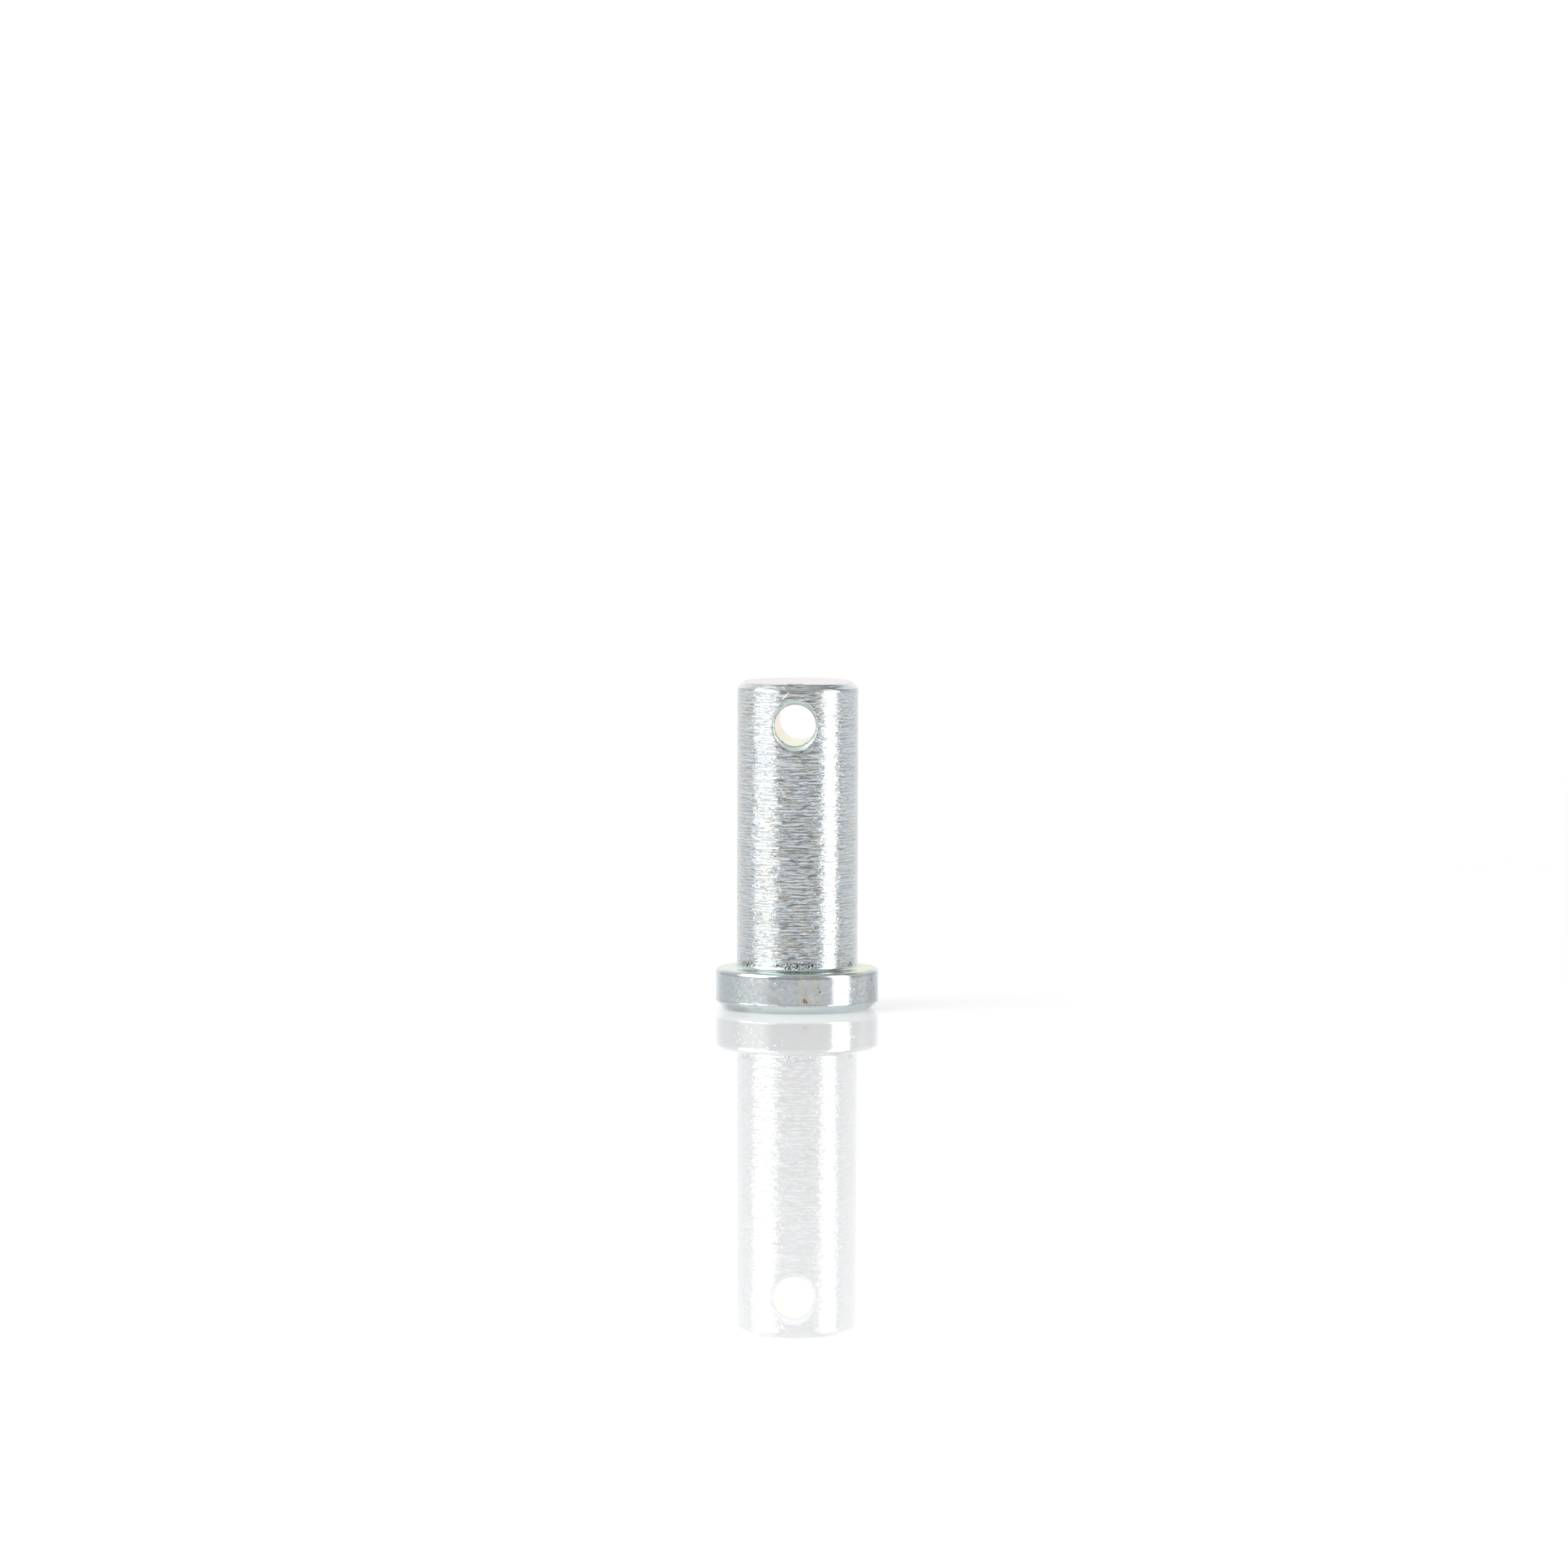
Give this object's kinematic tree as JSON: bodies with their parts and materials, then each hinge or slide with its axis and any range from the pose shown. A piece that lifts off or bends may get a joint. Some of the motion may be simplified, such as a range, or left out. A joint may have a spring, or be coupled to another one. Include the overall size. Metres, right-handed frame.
{
  "type": "lever pin",
  "caption": "Headed steel pin with a plain turned shank, a chamfered tip and a countersunk cross hole for a split pin or clip.",
  "frame": {"origin": "centre of the head's flat outer face, which the pin stands on", "axes": "+Z along the shank from the head to the tip; the cross hole runs along Y"},
  "size_m": [0.016, 0.016, 0.0322],
  "materials": {
    "zinc_plated_steel": "turned steel with fine uneven tool rings on the shank, smooth drawn skin on the head, thin clear zinc plate"
  },
  "bodies": {
    "root": {"lever_pin": "zinc_plated_steel"}
  },
  "joints": []
}
